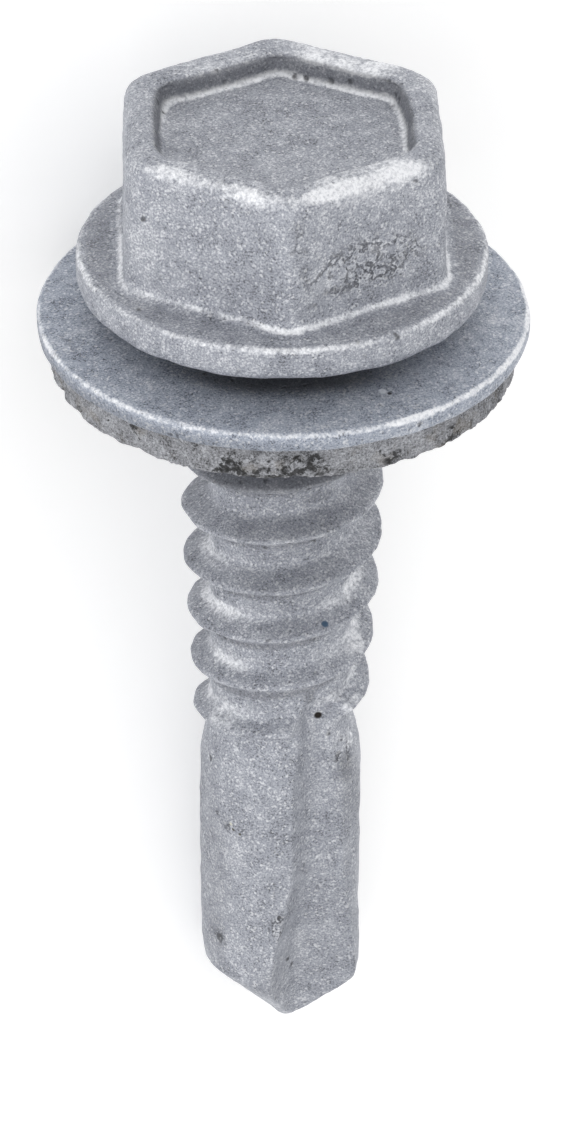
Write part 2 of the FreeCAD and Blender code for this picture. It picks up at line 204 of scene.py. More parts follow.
screwShape = {
    "hexFlats": 8.13,
    "hexTopFlats": 7.98,
    "headOffset": -0.04,      # the head was forged a little off the axis,
    "headOffsetFrom": -1.5,   # from this height on the shank upwards
    "hexCornerRadius": 0.75,
    "rimCornerExtra": 0.35,   # the corners are rounder towards the rim,
    "rimCornerFrom": 1.2,     # from this far below the top
    "rimCornerWhole": 0.2,    # to this far below it
    "recessCornerRadius": 0.42,
    "recessFloorCornerRadius": 0.10,
    "hexTurn": 2.5,           # degrees from -Y to the hex corner in front
    "headHeight": 4.62,
    "rimRounding": 0.52,
    "recessFlats": 6.34,
    "recessFloorFlats": 6.16,
    "recessDepth": 0.56,
    "recessRimRounding": 0.32,
    "recessFootRounding": 0.24,
    "recessBackIn": 0.09,     # the recess reaches less far at the back, by this share of its radius,
    "recessBack": (0.1, 0.8),  # over this stretch of the sine of the turn
    "footRounding": 0.30,
    "flangeRadius": 5.28,
    "flangeRimThickness": 0.88,
    "flangeRise": 0.07,       # from the flange's rim up to the foot of the hex
    "flangeTopRounding": 0.24,
    "flangeBottomRounding": 0.36,
    "shankRadius": 2.32,
    "flangeSag": 0.12,        # the flange's underside bulges below its datum
    "shankFootRounding": 0.28,
    "shankFoot": 0.45,        # from the datum down to where the shank is straight
    "shankEnd": -3.10,
    "rootRadius": 1.95,
    "crestRadius": 2.69,
    "lastCrestRadius": 2.355,
    "pitch": 1.588,
    "threadLength": 10.80,
    "threadEvenLength": 4.60,
    "threadFade": 0.60,
    "threadStartTurn": 323.0,
    "threadSunk": 0.40,       # the ridge starts and ends this far below the root
    "shaftInset": 0.02,       # room between the shaft and the solids' outline
    "flankSlope": 2.4,        # height lost for each millimetre along the axis
    "headSideSoftness": 0.11,
    "tipSideSoftness": 0.17,
    "rootSoftness": 0.10,
    "coreTaper": 0.45,
    "coreRise": 0.70,         # the root swells towards the drill, from this far above the thread's end
    "coreRiseEnd": 1.25,      # to this far below it
    "drillRadius": 2.235,
    "tip": -23.96,
    "pointHeight": 2.04,      # from the tip up to the edge of the drill
    "pointTwist": 0.25,       # each land leans back from its cutting lip
    "pointTwistTurn": -130.0,
    "pointSkew": 0.16,        # the point was pinched a little to one side
    "pointOffset": 0.23,
    "chiselRadius": 0.30,
    "fluteTurn": -60.0,
    "fluteWall": 52.0,
    "fluteFloorRadius": 0.25,
    "fluteStart": -11.00,
    "fluteRunout": 1.40,
    "fluteBendFromTip": 6.10,
    "valleyRadius": 1.42,
    "valleyRadiusAtTip": 0.12,
    "leastFluteHalfAngle": 13.0,
    "fluteStartingGuess": 0.8,  # of the half angle where a flute's edge is looked for
    "mostValley": 0.85,       # the flute's point stays inside this share of the outer radius
    "fluteLimit": 40.0,       # beyond this radius a flute's wall cuts nothing
    "edgeSoftness": 0.05,
    "shoulderSoftness": 0.17,  # of the edge where the point's cone meets the drill,
    "shoulderOnRight": 0.14,   # and how much more of it there is on the right
    "columnsInFlute": 34,
    "columnsOnLand": 74,
    "headColumnGather": 0.45,  # how far the columns gather at the hex corners,
    "fluteColumnGather": 0.55,  # at both edges inside a flute
    "landColumnGather": 0.72,  # and at both edges of a land
    "recessMiddle": 0.05,     # radius of the head's first row
    "headStep": 0.11,
    "headArcSteps": 11,
    "flangeStep": 0.14,
    "flangeArcSteps": 10,
    "flangeTopRows": 11,
    "shankRows": 14,
    "threadRows": 165,
    "threadTail": 0.6,        # the thread's close rows go on this far past its end
    "drillRows": 45,
    "drillEndFromTip": 2.75,
    "shoulderFrom": 1.08,     # shares of the cone's height between which rows lie close together
    "shoulderTo": 0.88,
    "shoulderRows": 15,
    "pointRows": 33,
    "lumpDepth": 0.030,
    "lumpSize": 1.1,
    "grainDepth": 0.012,
    "grainSize": 0.34,
    "scuffDepth": 0.045,
    "scuffGrain": 0.45,
    "smoothEnds": 0.25,       # the surface is even within this radius at both ends
    # how strongly each corner of the head's section is brightened: the feet of the recess and the hex by
    # painted highlight, the rims and the flange's top edge by wear and painted highlight, its underside by
    # wear
    "recessFootWear": 1.20,
    "recessRimWear": 0.55,
    "rimWear": 1.30,
    "footWear": 0.95,
    "footWearPower": 2.5,     # narrows the line along the foot of the hex
    "flangeTopWear": 0.80,
    "flangeBottomWear": 0.35,
    # steps of wear with painted highlight, and of darkening, round the head, over the sine or cosine of the
    # turn; rimAtCorners runs over the turn from the nearest hex corner
    "topWear": (0.62, 0.22, 0.2, 0.7),
    "rimAtCorners": (0.45, 0.55, 0.04, 0.26),
    "rimAtSides": (0.40, 0.60, 0.20, 0.70),
    "rimAtLeft": (0.82, 0.28, -0.2, 0.2),
    "recessAtLeft": (0.25, 0.75, -0.75, -0.1),
    "recessWearTurn": 55.0,
    "flangeTopDarkening": (0.08, 0.22, 0.3, 0.8),
    "upperEdgeFrom": 1.0,     # the hex is rubbed and lit by painted highlight from this far below its top
    "upperEdgeWhole": 0.3,
    "recessShadeEdge": (0.12, 0.10),  # how softly the painted shade begins above the floor and below the top
    # the thread: bands are measured from each crest, positive towards the tip, ends are heights, and
    # tops and stretches are depths below the flange
    "threadWearTop": (0.9, 1.3),
    "threadWearEnd": 0.5,
    "crestLine": 0.13,        # half the width of the rubbed line
    "crestWear": 0.55,
    # painted highlight, partly rubbed, in a band on the head's side of each crest, growing to the sides
    "rubbedAndHighlightedCorner": (-0.42, 0.36, 0.30),
    "cornerWear": 0.76,
    "cornerAtSides": (0.35, 0.65, 0.20, 0.70),
    "cornerStretch": (4.5, 9.0),
    # a painted shadow in a band under each crest
    "crestShadow": 0.68,
    "crestShadowBand": (0.55, 0.17, 0.12),
    "crestShadowEnd": (-13.0, -12.4),
    # painted shade on the first turn, under the washer
    "firstTurnBand": (-0.22, 0.40, 0.18),
    "firstTurnTop": (3.9, 4.3),
    "firstTurnEnd": (-6.2, -5.2),
    "firstTurnSides": (0.55, 0.95),
    "firstTurnShade": 0.35,    # painted shade at its sides, and this much more in the middle
    "firstTurnMiddle": 0.65,
    # painted shade deep in the flutes
    "fluteShade": 0.10,
    "fluteShadeDepth": (0.05, 0.25),
    "fluteShadeWhole": 13.0,   # depth below the flange
    # x, y, z, reach across, reach along and strength: the flaked patch on the right face of the hex,
    # the front corner, both sides of the drill and the edge of the flute
    "scuffs": [(2.08, -3.50, 2.25, 1.85, 0.80, 0.85), (0.40, -4.43, 3.0, 0.32, 1.05, 0.5),
               (-1.22, -1.80, -16.35, 0.45, 0.25, 0.9), (-1.63, -1.40, -20.3, 0.22, 0.22, 1.0),
               (0.0, -2.17, -19.4, 0.22, 0.50, 1.0), (1.69, -1.16, -14.2, 0.40, 0.55, 1.0)],
    # rubbed places lit by painted highlight, in the same terms: the right of the last turn, its end, the
    # flake below it, the left of the last turn, and a place each on the left and the right of the turns
    # above
    "rubsAndHighlights": [(2.02, -1.23, -12.6, 0.50, 0.42, 0.85), (1.15, -1.55, -13.1, 0.35, 0.22, 0.60),
             (1.93, -0.75, -14.0, 0.26, 0.40, 0.60), (-1.76, -1.47, -12.8, 0.75, 0.30, 0.70),
             (-1.95, -0.45, -8.15, 0.22, 0.50, 0.75), (1.83, -0.89, -10.8, 0.55, 0.35, 0.70)],
    # dull dark smudges in the same terms, some of them painted shade: painted shade down the left of
    # the drill, smudges at its lower corner and right of the flute's start, painted shade over the middle
    # of the upper turns, a dark stripe where the flute cuts the last turns, a painted shadow under the
    # first crest, and faint smudges over the tip and the right of the drill
    "smudgesAndShade": [(-2.1, -0.9, -18.2, 1.15, 4.0, 0.26), (-1.75, -1.30, -20.2, 0.50, 0.70, 0.45),
                (1.70, -1.10, -14.75, 0.42, 0.60, 0.66), (1.95, -1.00, -15.5, 0.65, 1.30, 0.34),
                (0.2, -2.40, -6.8, 1.70, 3.20, 0.27), (0.82, -1.85, -11.8, 0.22, 0.80, 0.65),
                (1.2, -2.15, -5.7, 0.90, 0.30, 0.50), (0.0, -1.60, -21.6, 0.90, 1.20, 0.26),
                (2.1, -0.80, -18.5, 0.70, 2.60, 0.14)],
}


def hexReach(angle, apothem, rounding):
    # Polar radius of a hexagon with rounded corners, one of them at angle 0: a straight flat,
    # and near each corner a circle set back along the corner's direction.
    sixth = math.radians(60)
    off = np.abs((angle + sixth / 2) % sixth - sixth / 2)
    flat = apothem / np.cos(sixth / 2 - off)
    back = (apothem - rounding) / math.cos(sixth / 2)
    inside = np.maximum(rounding ** 2 - (back * np.sin(off)) ** 2, 0.0)
    corner = back * np.cos(off) + np.sqrt(inside)
    tangent = np.arctan2(rounding * math.sin(sixth / 2), back + rounding * math.cos(sixth / 2))
    return np.where(off < tangent, corner, flat)


def crestRadiusAt(depth, shape):
    # the crest rises out of the core, stays even, narrows and sinks back into the core
    share = (depth - shape["threadEvenLength"]) / (shape["threadLength"] - shape["threadEvenLength"])
    narrowing = np.clip(share, 0.0, 1.0)
    full = shape["crestRadius"] + (shape["lastCrestRadius"] - shape["crestRadius"]) * narrowing
    edge = np.minimum(depth, shape["threadLength"] - depth)
    rise = smoothStep(edge, 0.0, shape["threadFade"])
    sunk = shape["rootRadius"] - shape["threadSunk"]
    return sunk + (full - sunk) * rise


def fromCrest(angle, z, shape):
    # distance along the axis from the nearest crest, positive on its tip side
    turned = (math.radians(shape["threadStartTurn"]) - angle) / (2.0 * math.pi) * shape["pitch"]
    return (shape["shankEnd"] - z - turned + shape["pitch"] / 2) % shape["pitch"] - shape["pitch"] / 2


def outerRadius(angle, z, shape):
    # Core and thread without the flutes. The ridge falls away from its crest on a hyperbola,
    # softer on the side of the tip.
    depth = shape["shankEnd"] - z
    x = fromCrest(angle, z, shape)
    soft = np.where(x > 0, shape["tipSideSoftness"], shape["headSideSoftness"])
    fall = shape["flankSlope"] * (np.sqrt(x ** 2 + soft ** 2) - soft)
    ridge = crestRadiusAt(depth - x, shape) - fall
    core = shape["shankRadius"] + (shape["rootRadius"] - shape["shankRadius"]) * smoothStep(
        depth, 0.0, shape["coreTaper"])
    core = core + (shape["drillRadius"] - shape["rootRadius"]) * smoothStep(
        depth - shape["threadLength"], -shape["coreRise"], shape["coreRiseEnd"])
    return smoothMax(core, ridge, shape["rootSoftness"]) - shape["shaftInset"]


def valleyAt(z, shape):
    # the flute comes in from outside the thread, runs straight, then deepens towards the tip
    start, full = shape["fluteStart"], shape["fluteStart"] - shape["fluteRunout"]
    bend = shape["tip"] + shape["fluteBendFromTip"]
    outside = shape["crestRadius"] + shape["fluteFloorRadius"]
    return np.interp(z, [shape["tip"], bend, full, start, start + shape["fluteRunout"]],
                     [shape["valleyRadiusAtTip"], shape["valleyRadius"], shape["valleyRadius"], outside,
                      2 * outside - shape["valleyRadius"]])


def fluteRadius(off, z, shape):
    # Polar radius of a vee whose floor is a hyperbola, at an angle off its middle: the root of
    # (r cos - v)^2 T^2 = r^2 sin^2 + c^2, where v is the vee's point, T the slope of its walls and
    # c / T how far its floor lies from that point. Off the vee, the radius lies beyond fluteLimit.
    slope = math.tan(math.radians(shape["fluteWall"]))
    c = shape["fluteFloorRadius"] * slope
    v = valleyAt(z, shape)
    a = slope ** 2 * np.cos(off) ** 2 - np.sin(off) ** 2
    b = v * slope ** 2 * np.cos(off)
    rootTerm = np.sqrt(np.maximum(b ** 2 - a * (v ** 2 * slope ** 2 - c ** 2), 0.0))
    inside = (a > 1e-3) & (np.cos(off) > 0)
    return np.where(inside, (b + rootTerm) / np.where(inside, a, 1.0), 2.0 * shape["fluteLimit"])


def evenThenDense(count, density):
    # shares from 0 to 1 that lie closer together at both ends
    u = np.arange(count) / count
    return u - density * np.sin(2.0 * math.pi * u) / (2.0 * math.pi)


def columnAngles(z, shape):
    # Columns gather at both edges of each flute, so that an edge always runs along a column.
    wall = math.radians(shape["fluteWall"])
    least = math.radians(shape["leastFluteHalfAngle"])
    middle = math.radians(shape["fluteTurn"])
    inFlute = evenThenDense(shape["columnsInFlute"], shape["fluteColumnGather"])
    onLand = evenThenDense(shape["columnsOnLand"], shape["landColumnGather"])
    angles = []
    for side in (0.0, math.pi):
        edges = []
        for sign in (-1.0, 1.0):
            off = np.full_like(z, shape["fluteStartingGuess"] * wall)
            for _ in range(8):
                outer = outerRadius(middle + side + sign * off, z, shape)
                v = np.minimum(valleyAt(z, shape), shape["mostValley"] * outer)
                # where the vee's wall meets the outer radius: sin(wall - off) = v sin(wall) / outer
                off = wall - np.arcsin(np.clip(v * math.sin(wall) / outer, 0.0, 1.0))
                off = np.maximum(off, least)
            edges.append(middle + side + sign * off)
        angles.append(edges[0][:, None] + (edges[1] - edges[0])[:, None] * inFlute)
        angles.append(edges[1][:, None])
    # the lands run from one flute's second edge to the next flute's first
    firstLand = angles[1] + (angles[2][:, :1] - angles[1]) * onLand
    secondLand = angles[3] + (angles[0][:, :1] + 2.0 * math.pi - angles[3]) * onLand
    return np.concatenate([angles[0], firstLand, angles[2], secondLand], axis=1)


def headGrid(shape):
    # Rows from the middle of the recess over the rim, down the hex and round the flange to the shank.
    columns = 2 * (shape["columnsInFlute"] + shape["columnsOnLand"])
    firstTurn = math.radians(shape["fluteTurn"]) - math.pi * shape["columnsInFlute"] / columns
    u = firstTurn + 2.0 * math.pi * np.arange(columns) / columns
    corner = math.radians(shape["hexTurn"] - 90.0)
    angle = (u - shape["headColumnGather"] * np.sin(6.0 * (u - corner)) / 6.0)[None, :]
    floorZ = shape["headHeight"] - shape["recessDepth"]
    footZ = shape["flangeRimThickness"] + shape["flangeRise"]
    foot = shape["hexFlats"] / 2
    hexPart, hexWear = roundedProfile([
        (shape["recessMiddle"], floorZ, 0.0, 0.0),
        (shape["recessFloorFlats"] / 2, floorZ, shape["recessFootRounding"], shape["recessFootWear"]),
        (shape["recessFlats"] / 2, shape["headHeight"], shape["recessRimRounding"], shape["recessRimWear"]),
        (shape["hexTopFlats"] / 2, shape["headHeight"], shape["rimRounding"], shape["rimWear"]),
        (foot, footZ, shape["footRounding"], shape["footWear"]),
        (foot + shape["footRounding"], footZ, 0.0, 0.0)], shape["headStep"], shape["headArcSteps"])
    # the corners of the hexagon are sharp in the recess and rounder outside, most of all at the rim
    rounding = np.interp(hexPart[:, 0], [0.0, shape["recessFlats"] / 2, shape["hexTopFlats"] / 2],
                         [shape["recessFloorCornerRadius"], shape["recessCornerRadius"],
                          shape["hexCornerRadius"]])[:, None]
    nearRim = smoothStep(hexPart[:, 1:], shape["headHeight"] - shape["rimCornerFrom"],
                         shape["headHeight"] - shape["rimCornerWhole"])
    rounding = rounding + shape["rimCornerExtra"] * (hexPart[:, :1] > shape["recessFlats"] / 2) * nearRim
    hexRadius = hexReach(angle - corner, hexPart[:, :1], rounding)
    inRecess = hexPart[:, :1] < 0.5 * shape["hexTopFlats"] - shape["rimRounding"]
    atBack = smoothStep(np.sin(angle), *shape["recessBack"])
    hexRadius = hexRadius * (1.0 - shape["recessBackIn"] * atBack * inRecess)
    hexZ = np.broadcast_to(hexPart[:, 1:], hexRadius.shape)
    rimStart = shape["flangeRadius"] - shape["flangeTopRounding"]
    spread = np.linspace(0.0, 1.0, shape["flangeTopRows"] + 2)[1:-1, None]
    topRadius = hexRadius[-1:] + (rimStart - hexRadius[-1:]) * spread
    topZ = footZ - shape["flangeRise"] * np.broadcast_to(spread, topRadius.shape)
    roundPart, roundWear = roundedProfile([
        (rimStart, shape["flangeRimThickness"], 0.0, 0.0),
        (shape["flangeRadius"], shape["flangeRimThickness"], shape["flangeTopRounding"],
         shape["flangeTopWear"]),
        (shape["flangeRadius"], -shape["flangeSag"], shape["flangeBottomRounding"],
         shape["flangeBottomWear"]),
        (shape["shankRadius"], -shape["flangeSag"], shape["shankFootRounding"], 0.0),
        (shape["shankRadius"], -shape["shankFoot"], 0.0, 0.0)],
        shape["flangeStep"], shape["flangeArcSteps"])
    roundRadius = np.broadcast_to(roundPart[:, :1], (len(roundPart), columns))
    roundZ = np.broadcast_to(roundPart[:, 1:], roundRadius.shape)
    radius = np.concatenate([hexRadius, topRadius, roundRadius])
    z = np.concatenate([hexZ, topZ, roundZ])
    hexWear, recessWallShade = hexWearAndDirt(angle - corner, angle, hexPart, hexWear, shape)
    flat = np.zeros((len(spread), columns))
    wearAndHighlight = np.concatenate([hexWear, flat, np.broadcast_to(roundWear[:, None], roundRadius.shape)])
    # the flange's top is painted darker at its left and right sides
    topDarkening = stepped(np.abs(np.cos(angle)), shape["flangeTopDarkening"]) * np.ones((len(spread), 1))
    dirtAndShade = np.concatenate([np.broadcast_to(recessWallShade[:, None], hexRadius.shape), topDarkening,
                            np.zeros(roundRadius.shape)])
    return np.broadcast_to(angle, radius.shape), radius, z, wearAndHighlight, dirtAndShade


def hexWearAndDirt(fromCorner, angle, hexPart, hexWear, shape):
    # how bright the rows of the recess, rim and hex are rubbed and lit by painted highlight all round,
    # and the painted shade of each row
    floorZ = shape["headHeight"] - shape["recessDepth"]
    footZ = shape["flangeRimThickness"] + shape["flangeRise"]
    # the foot of the hex gets a painted highlight in a narrow line only
    atFoot = hexPart[:, 1] < footZ + shape["footRounding"]
    hexWear = np.where(atFoot, hexWear ** shape["footWearPower"], hexWear)
    # the rim's top and the upper edge of the hex are rubbed too, with painted highlight stronger at the
    # back
    onRim = hexPart[:, 0] > shape["recessFlats"] / 2
    upperEdge = smoothStep(hexPart[:, 1], shape["headHeight"] - shape["upperEdgeFrom"],
                           shape["headHeight"] - shape["upperEdgeWhole"])
    topWear = stepped(np.sin(angle), shape["topWear"])
    hexWear = np.maximum(hexWear[:, None], topWear * (upperEdge * onRim)[:, None])
    # the rim's wear and painted highlight are weaker at its corners and on its left and right sides,
    # the recess's painted highlight weaker on the left
    offCorner = np.abs((fromCorner + math.pi / 6) % (math.pi / 3) - math.pi / 6)
    sideShare = stepped(np.abs(np.sin(angle)), shape["rimAtSides"])
    rimHighlightShare = stepped(offCorner, shape["rimAtCorners"]) * sideShare
    rimHighlightShare = rimHighlightShare * stepped(np.cos(angle), shape["rimAtLeft"])
    fromWorn = angle - math.radians(shape["recessWearTurn"])
    recessShare = stepped(np.cos(fromWorn), shape["recessAtLeft"])
    hexWear = hexWear * np.where(atFoot[:, None], 1.0, np.where(onRim[:, None], rimHighlightShare, recessShare))
    # the walls of the recess are darkened by painted shade
    fromFloor, fromTop = shape["recessShadeEdge"]
    wallShare = smoothStep(hexPart[:, 1], floorZ, floorZ + fromFloor) * smoothStep(
        -hexPart[:, 1], -shape["headHeight"], fromTop - shape["headHeight"])
    recessWallShade = np.where(hexPart[:, 0] < shape["hexTopFlats"] / 2 - shape["rimRounding"], wallShare, 0.0)
    return hexWear, recessWallShade


def shaftRows(shape):
    # heights of the rows down the shank, thread and drill, closest together on the thread
    top = -shape["shankFoot"]
    threadEnd = shape["shankEnd"] - shape["threadLength"] - shape["threadTail"]
    pointTop = shape["tip"] + shape["drillEndFromTip"]
    return np.concatenate([np.linspace(top, shape["shankEnd"], shape["shankRows"] + 1)[1:],
                           np.linspace(shape["shankEnd"], threadEnd, shape["threadRows"] + 1)[1:],
                           np.linspace(threadEnd, pointTop, shape["drillRows"] + 1)[1:]])


def shaftGrid(shape, columns):
    # Rows down the shank, the thread and the drill, then to the tip along the cones of its two lands.
    z = shaftRows(shape)
    angles = columnAngles(z, shape)
    radius = outerRadius(angles, z[:, None], shape)
    heights = np.broadcast_to(z[:, None], angles.shape)
    # each land leans back from its cutting lip, and the whole point a little to one side
    lipAngles = columnAngles(np.array([shape["tip"] + shape["pointHeight"]]), shape)[0]
    twist = np.cos(2.0 * (lipAngles - math.radians(shape["pointTwistTurn"])))
    coneHeight = shape["pointHeight"] + shape["pointTwist"] * twist - shape["pointSkew"] * np.cos(lipAngles)
    # the rows lie closer together round the cone's edge, where share is 1
    share = np.concatenate([
        np.linspace(shape["shoulderFrom"], shape["shoulderTo"], shape["shoulderRows"]),
        np.linspace(shape["shoulderTo"], 0.0, shape["pointRows"] + 1)[1:]])[:, None]
    pointZ = shape["tip"] + coneHeight[None, :] * share
    own = np.arange(columns)
    pointAngles = np.stack([columnAngles(row, shape)[own, own] for row in pointZ])
    pointRadius = outerRadius(pointAngles, pointZ, shape)
    blunt = shape["chiselRadius"]
    cone = blunt + (pointZ - shape["tip"]) / coneHeight * (shape["drillRadius"] - blunt)
    shoulder = shape["shoulderSoftness"] + shape["shoulderOnRight"] * np.cos(pointAngles)
    pointRadius = smoothMin(pointRadius, cone, shoulder)
    angles = np.concatenate([angles, pointAngles])
    heights = np.concatenate([heights, pointZ])
    radius = np.concatenate([radius, np.maximum(pointRadius, 0.0)])
    return angles, radius, heights


def threadWear(angles, radius, z, shape):
    # Crests are rubbed in a thin line, and the corner above each crest gets broad patches of wear and
    # painted highlight that grow down the thread and to both sides. Painted shadow lies under each crest
    # and painted shade on the first turn.
    x = fromCrest(angles, z, shape)
    onThread = smoothStep(shape["shankEnd"] - z, *shape["threadWearTop"]) * smoothStep(
        z - shape["shankEnd"] + shape["threadLength"], 0.0, shape["threadWearEnd"])
    standsOut = smoothStep(radius, shape["drillRadius"], shape["lastCrestRadius"])
    line = np.maximum(1.0 - np.abs(x) / shape["crestLine"], 0.0) * standsOut
    # painted highlight, partly rubbed, in the corner above each crest, strongest at the left and right
    side = stepped(np.abs(np.cos(angles)), shape["cornerAtSides"])
    lower = smoothStep(-z, *shape["cornerStretch"])
    corner = shape["cornerWear"] * band(x, shape["rubbedAndHighlightedCorner"]) * side * lower
    wearAndHighlight = onThread * np.maximum(shape["crestWear"] * line, corner)
    # painted shadow under each crest, and painted shade on the first turn under the washer
    shadowUnderCrest = band(x, shape["crestShadowBand"]) * smoothStep(z, *shape["crestShadowEnd"])
    onFirstTurn = smoothStep(-z, *shape["firstTurnTop"]) * smoothStep(z, *shape["firstTurnEnd"])
    firstTurn = band(x, shape["firstTurnBand"]) * onFirstTurn
    centre = 1.0 - smoothStep(np.abs(np.cos(angles)), *shape["firstTurnSides"])
    firstTurn = firstTurn * (shape["firstTurnShade"] + shape["firstTurnMiddle"] * centre)
    dirtAndShade = onThread * np.maximum(shape["crestShadow"] * shadowUnderCrest, firstTurn)
    return wearAndHighlight, dirtAndShade


def makeScrew(shape):
    headAngles, headRadius, headZ, headWear, headDarkening = headGrid(shape)
    columns = headRadius.shape[1]
    shaftAngles, shaftRadius, shaftZ = shaftGrid(shape, columns)
    # the even spacing of the head turns into that of the flutes on the way down the shank
    turnShare = smoothStep(-shaftZ, -shape["shankEnd"] * 0.1, -shape["shankEnd"])
    shaftAngles = headAngles[-1:] * (1.0 - turnShare) + shaftAngles * turnShare
    outer = outerRadius(shaftAngles, shaftZ, shape)
    shaftRadius = np.where(turnShare < 1.0, outer, shaftRadius)
    for side in (0.0, math.pi):
        off = (shaftAngles - math.radians(shape["fluteTurn"]) - side + math.pi) % (2.0 * math.pi) - math.pi
        vee = fluteRadius(off, shaftZ, shape)
        cut = smoothMin(shaftRadius, vee, shape["edgeSoftness"])
        shaftRadius = np.where(vee < shape["fluteLimit"], cut, shaftRadius)
    shaftRadius = np.maximum(shaftRadius, 0.0)
    shaftWear, shaftDirtAndShade = threadWear(shaftAngles, shaftRadius, shaftZ, shape)
    # painted shade deep in the flutes
    inFlute = smoothStep(outer - shaftRadius, *shape["fluteShadeDepth"]) * smoothStep(
        -shaftZ, -shape["fluteStart"], shape["fluteShadeWhole"])
    shaftDirtAndShade = np.maximum(shaftDirtAndShade, shape["fluteShade"] * inFlute)
    angles = np.concatenate([headAngles, shaftAngles])
    radius = np.concatenate([headRadius, shaftRadius])
    z = np.concatenate([headZ, shaftZ])
    wearAndHighlight = np.concatenate([headWear, shaftWear])
    dirtAndShade = np.concatenate([headDarkening, shaftDirtAndShade])
    grid = np.stack([radius * np.cos(angles), radius * np.sin(angles), z], axis=-1)
    toTip = smoothStep(-z, -shape["tip"] - 2.0 * shape["pointHeight"], -shape["tip"])
    toHead = smoothStep(z, shape["headOffsetFrom"], 0.0)
    grid[:, :, 0] += shape["pointOffset"] * toTip + shape["headOffset"] * toHead
    scuff = regionShare(grid, shape["scuffs"])
    # rubbed places lit by painted highlight
    wearAndHighlight = np.maximum(wearAndHighlight, regionShare(grid, shape["rubsAndHighlights"]))
    # dark smudges, some of them painted shade and shadow
    dirtAndShade = np.maximum(dirtAndShade, regionShare(grid, shape["smudgesAndShade"]))
    # unevenness of the coating and shallow scars, always inwards
    depth = shape["lumpDepth"] * (0.5 + 0.5 * waveNoise(grid, shape["lumpSize"], 11))
    depth += shape["grainDepth"] * (0.5 + 0.5 * waveNoise(grid, shape["grainSize"], 12))
    depth += shape["scuffDepth"] * scuff * (0.5 + 0.5 * waveNoise(grid, shape["scuffGrain"], 13))
    fadeAtEnds = smoothStep(radius, 0.0, shape["smoothEnds"])
    grid = grid - gridNormals(grid) * (np.maximum(depth, 0.0) * fadeAtEnds)[:, :, None]
    return meshFromGrid("screw_body", grid, {"wearAndHighlight": wearAndHighlight, "dirtAndShade": dirtAndShade, "scuff": scuff}, False)


screwPiece = makeScrew(screwShape)
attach(screwPiece, "screw")
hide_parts("screw")
print("screw made")

# the bonded washer: a dished steel disc and its rubber seal

discShape = {
    "radius": 6.34,
    "thickness": 0.55,
    "dish": 0.35,
    "bore": 2.85,
    "top": -0.95,
    "edgeRounding": 0.20,
    "step": 0.13,
    "arcSteps": 8,
    "columns": 360,
    "lumpDepth": 0.022,
    "lumpSize": 1.3,
    "scuffs": [(2.55, -4.39, -0.9, 0.22, 0.3, 1.0), (-5.4, -2.0, -0.9, 0.5, 0.3, 0.35)],
    # the top edge is rubbed and lit by painted highlight
    "topEdgeWear": 1.05,
    "bottomEdgeWear": 0.2,
    "topFacing": 0.5,               # normals that rise more than this belong to the top
    "edgeBelowTop": (0.08, 0.30),   # the outer edge begins this far below the top
    "shadowInFront": (0.60, 1.0),     # the painted shadow under the flange, over the cosine from the front
    "shadowToRim": (-4.95, -4.35),    # and over the radius, turned negative
    # steps over the cosine from the left for painted shade, and from the right for painted highlight
    "edgeShade": (0.08, 0.36, -0.5, 0.6),
    "highlightToRight": (0.90, 0.40, 0.0, 0.7),
    "edgeWear": (0.0, 0.50, 0.0, 0.7),
    "edgeWearRadius": 6.1,
}

sealShape = {
    "inset": 0.31,
    "rimThickness": 0.96,
    "bore": 2.40,
    "mouth": 2.91,
    "mouthHeight": 0.61,
    "edgeRounding": 0.16,
    "columns": 560,
    "crumbDepth": 0.060,
    "crumbSize": 0.42,
    "fineCrumbs": 0.5,
    "fineCrumbSize": 0.2,
    "crumbShare": 0.6,
    "tearDepth": 0.09,
    "tearSize": 1.5,
    "smallTearSize": 0.7,
    "tearHeight": 0.5,        # tears reach this far up from the bottom
    "tearReach": 0.6,         # and this far in from the outer edge
    "mouthReach": 0.5,        # crumbs begin this far outside the mouth
    "shadeHeight": 0.22,      # painted shade in the corner under the disc
    "shadeStrength": 0.7,
    "topFacing": 0.5,
    "step": 0.10,
    "arcSteps": 8,
    # where the rubber shows black: x, y, z, reach across, reach along and strength
    "blackPlaces": [(0.6, -6.0, -2.05, 0.65, 0.42, 1.0), (-1.3, -5.85, -2.2, 0.60, 0.30, 1.0),
                    (-0.3, -6.0, -2.35, 0.70, 0.25, 1.0), (2.68, -5.35, -2.24, 0.35, 0.25, 1.0),
                    (-3.6, -4.8, -1.7, 0.30, 0.25, 0.8), (4.3, -4.2, -2.2, 0.30, 0.30, 0.8)],
}


def turnedRing(corners, shape):
    # a closed half section turned about the axis, as a grid of points:
    # x = r cos a, y = r sin a, z = z, with r and z along the section
    section, wearAndHighlight = roundedProfile(corners + corners[:1], shape["step"], shape["arcSteps"])
    section, wearAndHighlight = section[:-1], wearAndHighlight[:-1]
    angle = np.linspace(0.0, 2.0 * math.pi, shape["columns"], endpoint=False)[None, :]
    grid = np.stack([section[:, :1] * np.cos(angle), section[:, :1] * np.sin(angle),
                     np.broadcast_to(section[:, 1:], (len(section), shape["columns"]))], axis=-1)
    return grid, np.broadcast_to(wearAndHighlight[:, None], grid.shape[:2])


